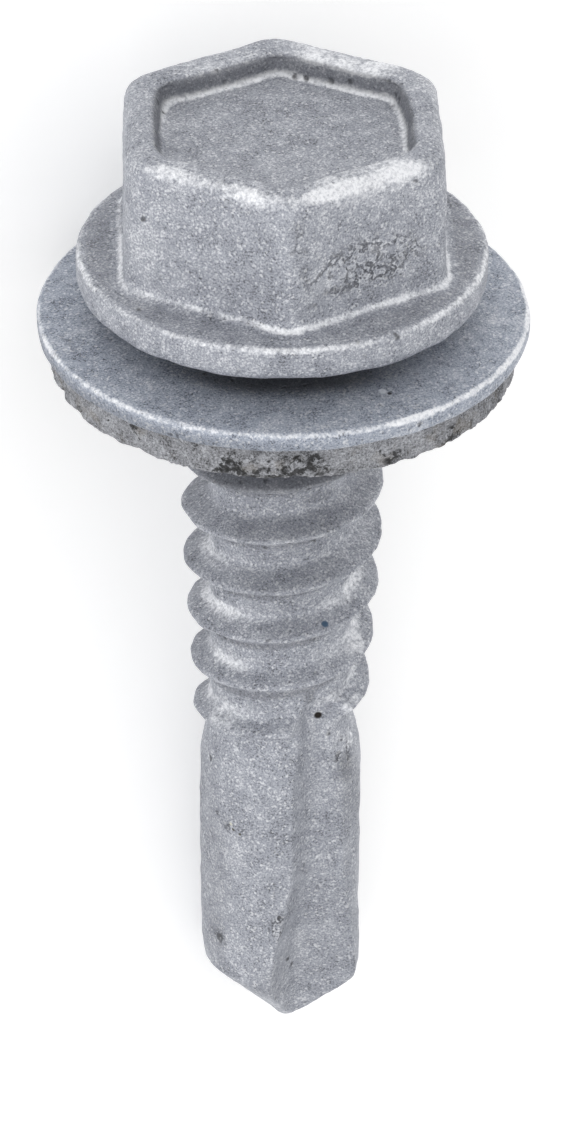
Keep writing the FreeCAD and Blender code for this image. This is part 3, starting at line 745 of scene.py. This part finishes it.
def makeDisc(shape):
    bottom = shape["top"] - shape["thickness"]
    grid, wearAndHighlight = turnedRing([
        (shape["bore"], shape["top"] + shape["dish"], 0.0, 0.0),
        (shape["radius"], shape["top"], shape["edgeRounding"], shape["topEdgeWear"]),
        (shape["radius"], bottom, shape["edgeRounding"], shape["bottomEdgeWear"]),
        (shape["bore"], bottom + shape["dish"], 0.0, 0.0)], shape)
    depth = shape["lumpDepth"] * (0.5 + 0.5 * waveNoise(grid, shape["lumpSize"], 21))
    normals = gridNormals(grid)
    grid = grid - normals * np.maximum(depth, 0.0)[:, :, None]
    radius = np.hypot(grid[:, :, 0], grid[:, :, 1])
    # a painted shadow lies under the flange, most of it in front, and painted shade on the left of the
    # outer edge
    onTop = normals[:, :, 2] > shape["topFacing"]
    toRight = grid[:, :, 0] / radius
    toFront = smoothStep(-grid[:, :, 1] / radius, *shape["shadowInFront"])
    shadowUnderFlange = toFront * smoothStep(-radius, *shape["shadowToRim"])
    onEdge = smoothStep(shape["top"] - grid[:, :, 2], *shape["edgeBelowTop"])
    dirtAndShade = np.where(onTop, shadowUnderFlange, stepped(-toRight, shape["edgeShade"]) * onEdge)
    # painted highlight on the right of the outer edge, and the rubbed edges lit more on the right
    edgeWear = stepped(toRight, shape["edgeWear"]) * onEdge * (radius > shape["edgeWearRadius"])
    wearAndHighlight = np.maximum(wearAndHighlight * stepped(toRight, shape["highlightToRight"]), edgeWear)
    scuff = regionShare(grid, shape["scuffs"])
    return meshFromGrid("washer_disc", grid, {"wearAndHighlight": wearAndHighlight, "dirtAndShade": dirtAndShade, "scuff": scuff}, True)


def makeSeal(disc, shape):
    # the seal fills the dish from below; its edge is crumbly and torn
    radius = disc["radius"] - shape["inset"]
    discBottom = disc["top"] - disc["thickness"]
    bottom = discBottom - shape["rimThickness"]
    topAt = discBottom + disc["dish"] * (disc["radius"] - radius) / (disc["radius"] - disc["bore"])
    grid, _ = turnedRing([
        (shape["bore"], discBottom + disc["dish"], 0.0, 0.0),
        (radius, topAt, 0.0, 0.0),
        (radius, bottom, shape["edgeRounding"], 0.0),
        (shape["mouth"], bottom, 0.0, 0.0),
        (shape["bore"], bottom + shape["mouthHeight"], 0.0, 0.0)], shape)
    normals = gridNormals(grid)
    fromAxis = np.hypot(grid[:, :, 0], grid[:, :, 1])
    low = smoothStep(-grid[:, :, 2], -bottom - shape["tearHeight"], -bottom)
    far = smoothStep(fromAxis, radius - shape["tearReach"], radius)
    exposed = smoothStep(fromAxis, shape["mouth"], shape["mouth"] + shape["mouthReach"])
    crumbs = np.abs(waveNoise(grid, shape["crumbSize"], 31))
    crumbs = crumbs + shape["fineCrumbs"] * np.abs(waveNoise(grid, shape["fineCrumbSize"], 32))
    tears = waveNoise(grid, shape["tearSize"], 33)
    tears = np.maximum(tears * waveNoise(grid, shape["smallTearSize"], 34), 0.0)
    depth = shape["crumbDepth"] * crumbs * shape["crumbShare"] * exposed
    depth = depth + shape["tearDepth"] * tears * low * far
    # the face that is bonded to the disc stays as it is
    bonded = normals[:, :, 2] > shape["topFacing"]
    depth = np.where(bonded, 0.0, depth)
    grid = grid - normals * depth[:, :, None]
    black = regionShare(grid, shape["blackPlaces"])
    # painted shade in the corner under the disc, shown as black pits and holes
    shadeUnderDisc = far * smoothStep(grid[:, :, 2], topAt - shape["shadeHeight"], topAt)
    dirtAndShade = np.maximum(black, shape["shadeStrength"] * shadeUnderDisc)
    dirtAndShade = np.maximum(np.clip(tears * low, 0.0, 1.0), dirtAndShade)
    return meshFromGrid("rubber_seal_ring", grid, {"dirtAndShade": dirtAndShade}, True)


discPiece = makeDisc(discShape)
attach(discPiece, "washer")
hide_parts("metal_washer")
sealPiece = makeSeal(discShape, sealShape)
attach(sealPiece, "washer")
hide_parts("rubber_seal")
print("bonded washer made")

# finishes


class Nodes:
    # short ways to add and join nodes of one tree
    def __init__(self, tree):
        self.tree = tree

    def add(self, kind, settings=None, **inputs):
        node = self.tree.nodes.new(kind)
        for key, value in (settings or {}).items():
            setattr(node, key, value)
        for key, value in inputs.items():
            self.feed(node.inputs[key.replace("_", " ")], value)
        return node

    def feed(self, socket, value):
        if isinstance(value, bpy.types.NodeSocket):
            self.tree.links.new(value, socket)
        else:
            socket.default_value = value

    def math(self, operation, a, b=0.0, clamp=False):
        node = self.tree.nodes.new("ShaderNodeMath")
        node.operation = operation
        node.use_clamp = clamp
        self.feed(node.inputs[0], a)
        self.feed(node.inputs[1], b)
        return node.outputs[0]

    def ramp(self, value, low, high):
        # 0 below low, 1 above high, smooth between
        node = self.add("ShaderNodeMapRange", {"interpolation_type": "SMOOTHSTEP"})
        self.feed(node.inputs["Value"], value)
        self.feed(node.inputs["From Min"], low)
        self.feed(node.inputs["From Max"], high)
        return node.outputs["Result"]

    def mix(self, share, a, b):
        node = self.tree.nodes.new("ShaderNodeMix")
        node.data_type = "RGBA"
        self.feed(node.inputs[0], share)
        self.feed(node.inputs[6], a)
        self.feed(node.inputs[7], b)
        return node.outputs[2]

    def noise(self, place, scale, detail=2.0, roughness=0.5):
        node = self.add("ShaderNodeTexNoise", None, Vector=place, Scale=scale, Detail=detail,
                        Roughness=roughness)
        return node.outputs["Fac"]

    def field(self, name):
        # a value that the mesh carries at each of its points
        return self.add("ShaderNodeAttribute", {"attribute_name": name}).outputs["Fac"]

    def shared(self, label, **inputs):
        # the outputs of one of the shared groups
        return self.add("ShaderNodeGroup", {"node_tree": groups[label]}, **inputs).outputs


def newGroup(name, inputs, outputs):
    group = bpy.data.node_groups.new(name, "ShaderNodeTree")
    for kind, sockets in (("INPUT", inputs), ("OUTPUT", outputs)):
        for label, socketType in sockets:
            group.interface.new_socket(name=label, in_out=kind, socket_type=socketType)
    nodes = Nodes(group)
    return group, nodes, nodes.add("NodeGroupInput"), nodes.add("NodeGroupOutput")


def buildZincGrain():
    # sandy coating: fine grains, blotches of about a millimetre, broad clouds, and a few bright flakes
    group, n, source, result = newGroup(
        "zincGrain",
        [("Place", "NodeSocketVector"), ("Dark", "NodeSocketColor"), ("Middle", "NodeSocketColor"),
         ("Light", "NodeSocketColor"), ("Grains", "NodeSocketFloat"), ("Blotches", "NodeSocketFloat"),
         ("Clouds", "NodeSocketFloat")],
        [("Color", "NodeSocketColor"), ("Roughness", "NodeSocketFloat"), ("Height", "NodeSocketFloat")])
    place = source.outputs["Place"]
    fine = n.noise(place, 19.0, 3.0, 0.72)
    blotches = n.noise(place, 2.2, 3.0, 0.60)
    broad = n.noise(place, 0.55, 2.0, 0.50)
    flakes = n.add("ShaderNodeTexVoronoi", None, Vector=place, Scale=17.0)
    flakeShare = n.add("ShaderNodeSeparateColor", None, Color=flakes.outputs["Color"]).outputs[0]
    share = 0.5
    for value, amount in ((fine, "Grains"), (blotches, "Blotches"), (broad, "Clouds")):
        offMiddle = n.math("SUBTRACT", value, 0.5)
        share = n.math("ADD", share, n.math("MULTIPLY", offMiddle, source.outputs[amount]))
    darkToMiddle = n.mix(n.ramp(share, -0.05, 0.5), source.outputs["Dark"], source.outputs["Middle"])
    color = n.mix(n.ramp(share, 0.5, 1.05), darkToMiddle, source.outputs["Light"])
    flake = n.ramp(flakeShare, 0.86, 0.97)
    color = n.mix(n.math("MULTIPLY", flake, 0.58), color, source.outputs["Light"])
    n.feed(result.inputs["Color"], color)
    n.feed(result.inputs["Roughness"], n.math("SUBTRACT", 0.60, n.math("MULTIPLY", flake, 0.16)))
    n.feed(result.inputs["Height"], n.math("ADD", fine, n.math("MULTIPLY", flakeShare, 0.35)))
    return group


def buildEdgeWear():
    # corners rubbed bright and lit by painted highlight, in soft broken stretches
    group, n, source, result = newGroup(
        "edgeWear",
        [("Place", "NodeSocketVector"), ("Color", "NodeSocketColor"), ("Roughness", "NodeSocketFloat"),
         ("Wear", "NodeSocketFloat"), ("Bright", "NodeSocketColor"), ("Amount", "NodeSocketFloat")],
        [("Color", "NodeSocketColor"), ("Roughness", "NodeSocketFloat")])
    place = source.outputs["Place"]
    stretches = n.math("MULTIPLY", n.ramp(n.noise(place, 0.42, 2.0, 0.55), 0.40, 0.60), 0.38)
    beads = n.math("SUBTRACT", n.noise(place, 6.5, 3.0, 0.70), 0.5)
    wornAndLit = n.math("MULTIPLY", source.outputs["Wear"], n.math("ADD", 0.62, stretches))
    wornAndLit = n.math("ADD", wornAndLit, n.math("MULTIPLY", beads, 1.5))
    mask = n.math("MULTIPLY", n.ramp(wornAndLit, 0.30, 1.00), source.outputs["Amount"])
    mask = n.math("MULTIPLY", mask, n.ramp(source.outputs["Wear"], 0.05, 0.35))
    sparkle = n.math("MULTIPLY", n.math("SUBTRACT", n.noise(place, 12.0, 2.0, 0.60), 0.5), 2.4)
    mask = n.math("MULTIPLY", mask, n.math("ADD", 1.0, sparkle), clamp=True)
    n.feed(result.inputs["Color"], n.mix(mask, source.outputs["Color"], source.outputs["Bright"]))
    smoother = n.math("MULTIPLY", mask, 0.18)
    n.feed(result.inputs["Roughness"], n.math("SUBTRACT", source.outputs["Roughness"], smoother))
    return group


def buildFlakedCoat():
    # ragged dark cracks with light borders, and dull hollows, where the coating has flaked
    group, n, source, result = newGroup(
        "flakedCoat",
        [("Place", "NodeSocketVector"), ("Color", "NodeSocketColor"), ("Height", "NodeSocketFloat"),
         ("Region", "NodeSocketFloat"), ("Dirt", "NodeSocketColor"), ("Bright", "NodeSocketColor")],
        [("Color", "NodeSocketColor"), ("Height", "NodeSocketFloat")])
    place = source.outputs["Place"]
    lines = n.math("ABSOLUTE", n.math("SUBTRACT", n.noise(place, 1.05, 4.0, 0.66), 0.5))
    crack = n.math("SUBTRACT", 1.0, n.ramp(lines, 0.006, 0.034))
    borderEnd = n.math("SUBTRACT", 1.0, n.ramp(lines, 0.050, 0.075))
    border = n.math("MULTIPLY", n.ramp(lines, 0.030, 0.050), borderEnd)
    gaps = n.ramp(n.noise(place, 3.0, 2.0), 0.36, 0.52)
    hollow = n.math("MULTIPLY", n.ramp(n.noise(place, 4.0, 3.0, 0.65), 0.54, 0.62), 0.65)
    mask = n.math("MAXIMUM", n.math("MULTIPLY", crack, gaps), hollow)
    mask = n.math("MULTIPLY", mask, source.outputs["Region"])
    litRegion = n.math("MULTIPLY", source.outputs["Region"], 0.45)
    lit = n.math("MULTIPLY", n.math("MULTIPLY", border, gaps), litRegion)
    bordered = n.mix(lit, source.outputs["Color"], source.outputs["Bright"])
    sunk = n.math("MULTIPLY", mask, 1.2)
    n.feed(result.inputs["Color"], n.mix(n.math("MULTIPLY", mask, 0.75), bordered, source.outputs["Dirt"]))
    n.feed(result.inputs["Height"], n.math("SUBTRACT", source.outputs["Height"], sunk))
    return group


def buildSpot():
    # one round spot with a soft rim at a place of its own
    group, n, source, result = newGroup(
        "spot",
        [("Place", "NodeSocketVector"), ("Center", "NodeSocketVector"), ("Radius", "NodeSocketFloat"),
         ("Color", "NodeSocketColor"), ("Stain", "NodeSocketColor")],
        [("Color", "NodeSocketColor")])
    away = n.add("ShaderNodeVectorMath", {"operation": "DISTANCE"})
    n.feed(away.inputs[0], source.outputs["Place"])
    n.feed(away.inputs[1], source.outputs["Center"])
    share = n.math("DIVIDE", away.outputs["Value"], source.outputs["Radius"])
    mask = n.math("SUBTRACT", 1.0, n.ramp(share, 0.65, 1.25))
    n.feed(result.inputs["Color"], n.mix(mask, source.outputs["Color"], source.outputs["Stain"]))
    return group


def buildDarkPits():
    # small pits and specks of dirt, thicker where the clouds gather them and in the dirt and painted shade
    group, n, source, result = newGroup(
        "darkPits",
        [("Place", "NodeSocketVector"), ("Color", "NodeSocketColor"), ("Roughness", "NodeSocketFloat"),
         ("Height", "NodeSocketFloat"), ("Dirt", "NodeSocketColor"), ("Size", "NodeSocketFloat"),
         ("Amount", "NodeSocketFloat"), ("Gather", "NodeSocketFloat")],
        [("Color", "NodeSocketColor"), ("Roughness", "NodeSocketFloat"), ("Height", "NodeSocketFloat")])
    place = source.outputs["Place"]
    wobble = n.add("ShaderNodeTexNoise", None, Vector=place, Scale=5.0, Detail=2.0)
    moved = n.add("ShaderNodeVectorMath", {"operation": "MULTIPLY_ADD"})
    n.feed(moved.inputs[0], wobble.outputs["Color"])
    moved.inputs[1].default_value = (0.25, 0.25, 0.25)
    n.feed(moved.inputs[2], place)
    cells = n.add("ShaderNodeTexVoronoi", None, Vector=moved.outputs[0], Scale=source.outputs["Size"])
    pick = n.add("ShaderNodeSeparateColor", None, Color=cells.outputs["Color"]).outputs[1]
    where = n.math("ADD", pick, n.math("MULTIPLY", n.noise(place, 0.55, 2.0), 0.7))
    where = n.math("ADD", where, n.math("MULTIPLY", source.outputs["Gather"], 0.30))
    chosen = n.ramp(where, n.math("SUBTRACT", 1.45, source.outputs["Amount"]), 1.5)
    dot = n.math("SUBTRACT", 1.0, n.ramp(cells.outputs["Distance"], 0.10, 0.38))
    mask = n.math("MULTIPLY", chosen, dot, clamp=True)
    dirty = n.math("MULTIPLY", mask, 0.8)
    duller = n.math("MULTIPLY", mask, 0.2)
    sunk = n.math("MULTIPLY", mask, 1.6)
    n.feed(result.inputs["Color"], n.mix(dirty, source.outputs["Color"], source.outputs["Dirt"]))
    n.feed(result.inputs["Roughness"], n.math("ADD", source.outputs["Roughness"], duller))
    n.feed(result.inputs["Height"], n.math("SUBTRACT", source.outputs["Height"], sunk))
    return group


groups = {"grain": buildZincGrain(), "wearAndHighlight": buildEdgeWear(), "pits": buildDarkPits(),
          "flaked": buildFlakedCoat(), "spot": buildSpot()}


def placeInMillimetres(n):
    coordinates = n.add("ShaderNodeTexCoord")
    scaled = n.add("ShaderNodeVectorMath", {"operation": "SCALE"})
    n.feed(scaled.inputs[0], coordinates.outputs["Object"])
    scaled.inputs["Scale"].default_value = 1000.0
    return scaled.outputs[0]


def newMaterial(name):
    material = bpy.data.materials.new(name)
    material.use_nodes = True
    material.node_tree.nodes.clear()
    return material, Nodes(material.node_tree)


def shadeOf(grey, tint=(1.0, 1.0, 1.0)):
    return (grey * tint[0], grey * tint[1], grey * tint[2], 1.0)


def addSurface(n, color, roughness, height, look):
    # the bumped surface that ends each finish
    bump = n.add("ShaderNodeBump", None, Strength=look["bumpStrength"],
                 Distance=look["bumpDistance"] / 1000.0, Height=height)
    surface = n.add("ShaderNodeBsdfPrincipled", None, Base_Color=color, Metallic=look["metallic"],
                    Roughness=roughness, Normal=bump.outputs["Normal"])
    n.feed(n.add("ShaderNodeOutputMaterial").inputs["Surface"], surface.outputs[0])


def zincFinish(name, look):
    # grainy zinc, rubbed at its corners and lit there by painted highlight, flaked and pitted, with dirt,
    # painted shade and single spots over it
    material, n = newMaterial(name)
    place = placeInMillimetres(n)
    tint = look["tint"]
    bright = shadeOf(look["bright"], look["brightTint"])
    dirtAndShade = n.field("dirtAndShade")
    grain = n.shared("grain", Place=place, Dark=shadeOf(look["dark"], tint),
                     Middle=shadeOf(look["middle"], tint), Light=shadeOf(look["light"], look["brightTint"]),
                     Grains=look["grains"], Blotches=look["blotches"], Clouds=look["clouds"])
    wornAndLit = n.shared("wearAndHighlight", Place=place, Color=grain["Color"], Roughness=grain["Roughness"],
                    Wear=n.field("wearAndHighlight"), Bright=bright, Amount=look["wearAndHighlight"])
    flaked = n.shared("flaked", Place=place, Color=wornAndLit["Color"], Height=grain["Height"],
                      Region=n.field("scuff"), Dirt=shadeOf(look["dirt"], tint), Bright=bright)
    pits = n.shared("pits", Place=place, Color=flaked["Color"], Roughness=wornAndLit["Roughness"],
                    Height=flaked["Height"], Dirt=shadeOf(look["dirt"]), Size=look["pitSize"],
                    Amount=look["pits"], Gather=dirtAndShade)
    # dirt and painted shade darken the colour
    color = n.mix(n.math("MULTIPLY", dirtAndShade, look["dirtAndShade"]), pits["Color"], look["dirtAndShadeColor"])
    for center, radius, stain in look["spots"]:
        inRow = tuple(toRow(np.array(center)) * 1000.0)
        spot = n.shared("spot", Place=place, Center=inRow, Radius=radius, Color=color, Stain=stain)
        color = spot["Color"]
    addSurface(n, color, pits["Roughness"], pits["Height"], look)
    return material


screwLook = {
    "tint": (0.925, 0.965, 1.085),
    "brightTint": (0.98, 0.99, 1.02),
    "dark": 0.085,
    "middle": 0.40,
    "light": 0.78,
    "bright": 0.93,
    "grains": 2.2,
    "blotches": 0.60,
    "clouds": 0.45,
    "wearAndHighlight": 0.85,
    "dirt": 0.035,
    "pitSize": 3.05,
    "pits": 0.155,
    # how far dirt and painted shade darken the zinc
    "dirtAndShade": 0.62,
    "dirtAndShadeColor": (0.092, 0.096, 0.108, 1.0),
    "metallic": 0.60,
    "bumpStrength": 0.75,
    "bumpDistance": 0.032,
    # middle, radius in millimetres and colour of single spots: a black pit, a bluish one and small ones
    "spots": [((1.002, -1.365, -12.838), 0.115, (0.012, 0.008, 0.006, 1.0)),
              ((1.151, -2.074, -9.409), 0.10, (0.07, 0.12, 0.19, 1.0)),
              ((-1.636, -1.373, -20.299), 0.07, (0.12, 0.12, 0.13, 1.0)),
              ((0.0, -2.178, -19.037), 0.05, (0.12, 0.12, 0.13, 1.0)),
              ((0.051, -2.173, -19.594), 0.05, (0.12, 0.12, 0.13, 1.0)),
              # a slanting nick on the left of the drill
              ((-1.32, -1.74, -16.20), 0.055, (0.62, 0.62, 0.55, 1.0)),
              ((-1.26, -1.78, -16.36), 0.055, (0.10, 0.10, 0.09, 1.0)),
              ((-1.08, -1.89, -16.44), 0.045, (0.12, 0.12, 0.11, 1.0))],
}

washerLook = dict(
    screwLook,
    tint=(0.88, 0.963, 1.135),
    middle=0.44,
    blotches=0.85,
    clouds=0.30,
    pitSize=4.2,
    pits=0.20,
    # on the washer this darkening is all painted shade: under the flange and on the left of its edge
    dirtAndShade=0.80,
    dirtAndShadeColor=(0.042, 0.043, 0.048, 1.0),
    # a nick in front: bright metal with a dark side
    spots=[((2.49, -4.39, -0.84), 0.105, (0.72, 0.75, 0.80, 1.0)),
           ((2.66, -4.47, -0.84), 0.060, (0.06, 0.06, 0.07, 1.0))],
)

rubberLook = {
    "tint": (0.96, 0.98, 1.05),
    "dark": 0.05,
    "middle": 0.29,
    "light": 0.56,
    "brown": (0.24, 0.20, 0.14, 1.0),
    "black": 0.012,
    "grains": 2.6,
    "blotches": 1.3,
    "clouds": 0.5,
    "stainSize": 1.5,         # scale of the brown stains, and how strong they are
    "stain": 0.25,
    "pitSize": 2.6,
    "pits": 0.45,
    "blackness": 3.0,         # how far the black places and the painted shade gather pits
    "raggedSize": 4.6,        # scale of the ragged black holes
    "ragged": 0.9,
    "raggedInPlaces": 0.15,   # and how much more of them the black places have
    "roughness": 0.85,
    "metallic": 0.0,
    "bumpStrength": 0.8,
    "bumpDistance": 0.06,
}


def rubberFinish(name, look):
    # crumbly rubber with a dusting of zinc, brown stains and black holes, and painted shade under the disc
    material, n = newMaterial(name)
    place = placeInMillimetres(n)
    black = shadeOf(look["black"])
    dirtAndShade = n.field("dirtAndShade")
    grain = n.shared("grain", Place=place, Dark=shadeOf(look["dark"], look["tint"]),
                     Middle=shadeOf(look["middle"], look["tint"]),
                     Light=shadeOf(look["light"], look["tint"]), Grains=look["grains"],
                     Blotches=look["blotches"], Clouds=look["clouds"])
    stains = n.ramp(n.noise(place, look["stainSize"], 3.0, 0.6), 0.52, 0.68)
    stained = n.mix(n.math("MULTIPLY", stains, look["stain"]), grain["Color"], look["brown"])
    pits = n.shared("pits", Place=place, Color=stained, Roughness=grain["Roughness"],
                    Height=grain["Height"], Dirt=black, Size=look["pitSize"], Amount=look["pits"],
                    Gather=n.math("MULTIPLY", dirtAndShade, look["blackness"]))
    gathered = n.math("MULTIPLY", dirtAndShade, look["raggedInPlaces"])
    holes = n.ramp(n.math("ADD", n.noise(place, look["raggedSize"], 4.0, 0.70), gathered), 0.59, 0.69)
    blackened = n.mix(n.math("MULTIPLY", holes, look["ragged"]), pits["Color"], black)
    addSurface(n, blackened, look["roughness"], pits["Height"], look)
    return material


screwPiece.data.materials.append(zincFinish("zincScrew", screwLook))
discPiece.data.materials.append(zincFinish("zincWasher", washerLook))
sealPiece.data.materials.append(rubberFinish("sealRubber", rubberLook))
print("finishes made")

# floor, light and camera

studio = {
    "floorGrey": 0.88,
    "floorLift": 0.28,        # what the camera and reflections see on top of the floor's own light
    "floorSize": 0.6,         # metres from its middle to each side
    "skySeen": 1.0,
    "skyLight": 0.86,
    "keyPower": 0.13,
    "keySize": 0.16,
    "keyDistance": 0.22,
    "keyTurn": -20.0,         # degrees towards the left of the camera's view
    "keyRise": 10.0,          # degrees above square to the axis, on the camera's side
}

camera = {
    "distance": 0.127,
    "targetAlong": -8.85,     # millimetres from the flange's underside to where the camera looks
    "targetAcross": 0.088,
    "rise": 33.391,           # degrees above square to the axis, towards the head
    "roll": 0.409,
    "lens": 152.9,
    "sensor": 36.0,
}


def seenDirectly(n):
    # 1 for the camera and for what shines back from metal, 0 for the light that falls on the object
    path = n.add("ShaderNodeLightPath")
    direct = n.math("MAXIMUM", path.outputs["Is Camera Ray"], path.outputs["Is Glossy Ray"])
    return n.math("MAXIMUM", direct, path.outputs["Is Transmission Ray"])


def makeFloor(look):
    half = look["floorSize"]
    corners = [(-half, -half, 0), (half, -half, 0), (half, half, 0), (-half, half, 0)]
    mesh = bpy.data.meshes.new("floor")
    mesh.from_pydata(corners, [], [(0, 1, 2, 3)])
    floor = bpy.data.objects.new("floor", mesh)
    bpy.context.scene.collection.objects.link(floor)
    material, n = newMaterial("floorPaint")
    surface = n.add("ShaderNodeBsdfPrincipled", None, Base_Color=shadeOf(look["floorGrey"]), Roughness=0.9)
    lift = n.add("ShaderNodeEmission", None, Color=shadeOf(1.0),
                 Strength=n.math("MULTIPLY", seenDirectly(n), look["floorLift"]))
    both = n.add("ShaderNodeAddShader")
    n.feed(both.inputs[0], surface.outputs[0])
    n.feed(both.inputs[1], lift.outputs[0])
    n.feed(n.add("ShaderNodeOutputMaterial").inputs["Surface"], both.outputs[0])
    mesh.materials.append(material)


def makeSky(look):
    world = bpy.data.worlds.new("studioSky")
    bpy.context.scene.world = world
    world.use_nodes = True
    world.node_tree.nodes.clear()
    n = Nodes(world.node_tree)
    light = n.add("ShaderNodeBackground", None, Color=shadeOf(1.0), Strength=look["skyLight"])
    shown = n.add("ShaderNodeBackground", None, Color=shadeOf(1.0), Strength=look["skySeen"])
    mixed = n.add("ShaderNodeMixShader")
    n.feed(mixed.inputs[0], seenDirectly(n))
    n.feed(mixed.inputs[1], light.outputs[0])
    n.feed(mixed.inputs[2], shown.outputs[0])
    n.feed(n.add("ShaderNodeOutputWorld").inputs["Surface"], mixed.outputs[0])


def directionFrom(turnDegrees, riseDegrees):
    # a direction away from the axis: turned round it from the camera's side, and raised towards the head
    turn, rise = math.radians(turnDegrees), math.radians(riseDegrees)
    level = math.cos(turn) * cameraSide + math.sin(turn) * acrossAxis
    return math.cos(rise) * level + math.sin(rise) * alongAxis


def makeKeyLight(look, target):
    data = bpy.data.lights.new("keyLight", "AREA")
    data.energy = look["keyPower"]
    data.size = look["keySize"]
    key = bpy.data.objects.new("keyLight", data)
    bpy.context.scene.collection.objects.link(key)
    away = directionFrom(look["keyTurn"], look["keyRise"])
    key.location = Vector(target + away * look["keyDistance"])
    key.rotation_mode = "QUATERNION"
    key.rotation_quaternion = Vector(-away).to_track_quat("-Z", "Y")


def makeCamera(settings):
    aimOff = settings["targetAlong"] * alongAxis + settings["targetAcross"] * acrossAxis
    target = flangeUnderside + aimOff / 1000.0
    back = directionFrom(0.0, settings["rise"])
    up = alongAxis - back * (back @ alongAxis)
    up /= np.linalg.norm(up)
    right = np.cross(up, back)
    roll = math.radians(settings["roll"])
    rolledRight = math.cos(roll) * right + math.sin(roll) * up
    rolledUp = math.cos(roll) * up - math.sin(roll) * right
    data = bpy.data.cameras.new("camera")
    data.lens = settings["lens"]
    data.sensor_width = settings["sensor"]
    data.clip_start = 0.01
    data.clip_end = 10.0
    lookout = bpy.data.objects.new("camera", data)
    bpy.context.scene.collection.objects.link(lookout)
    place = target + back * settings["distance"]
    matrix = np.eye(4)
    matrix[:3, 0], matrix[:3, 1], matrix[:3, 2], matrix[:3, 3] = rolledRight, rolledUp, back, place
    lookout.matrix_world = Matrix(matrix.tolist())
    bpy.context.scene.camera = lookout
    return target


makeFloor(studio)
makeSky(studio)
lookedAt = makeCamera(camera)
makeKeyLight(studio, lookedAt)
bpy.context.scene.view_settings.view_transform = "Standard"
print("studio made")
